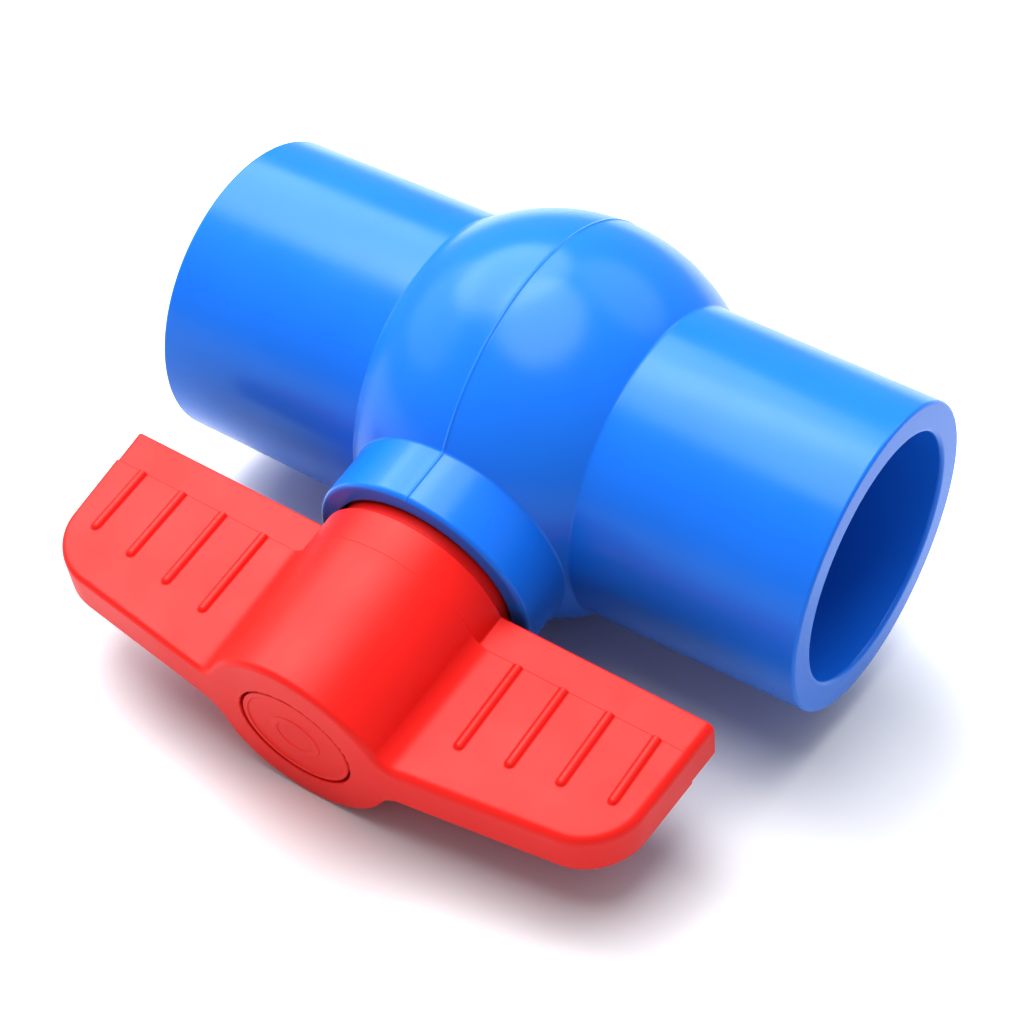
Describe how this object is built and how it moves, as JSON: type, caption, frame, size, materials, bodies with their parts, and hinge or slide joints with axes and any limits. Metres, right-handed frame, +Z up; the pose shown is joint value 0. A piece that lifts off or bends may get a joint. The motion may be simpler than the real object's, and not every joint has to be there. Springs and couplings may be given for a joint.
{
  "type": "ball valve",
  "caption": "Plastic quarter-turn ball valve with two plain solvent-weld sockets, a spherical ball housing and a two-wing handle, lying on its side.",
  "frame": {"origin": "middle of the footprint, on the table, with the valve lying on the underside of its ball housing and the lower rim of its handle hub", "axes": "+X along the pipe; the stem runs from the ball centre towards -Y and 14.3 degrees below the horizontal, which is the slope at which the valve lies; +Z up"},
  "size_m": [0.0932, 0.0826, 0.0519],
  "materials": {
    "blue_pvc": "satin-gloss moulded PVC",
    "red_plastic": "satin moulded ABS",
    "white_ball": "polished moulded ball",
    "grey_plastic": "moulded",
    "seat_white": "waxy seat plastic",
    "black_rubber": "moulded seal rubber",
    "screw_steel": "bright steel"
  },
  "bodies": {
    "valve_body": {"body": "blue_pvc", "seat_left": "seat_white", "seat_carrier_left": "grey_plastic", "seat_oring_left": "black_rubber", "seat_right": "seat_white", "seat_carrier_right": "grey_plastic", "seat_oring_right": "black_rubber"},
    "handle_and_ball": {"handle": "red_plastic", "handle_cap": "red_plastic", "handle_screw": "screw_steel", "stem": "grey_plastic", "stem_oring_lower": "black_rubber", "stem_oring_upper": "black_rubber", "stem_washer": "seat_white", "ball": "white_ball"}
  },
  "joints": [
    {"name": "handle_turn", "type": "hinge", "parent": "valve_body", "child": "handle_and_ball", "pos_m": [0, 0.01541, 0.02594], "axis": [0, 0.9688, 0.2477], "range_deg": [-2.2, 87.8]}
  ]
}
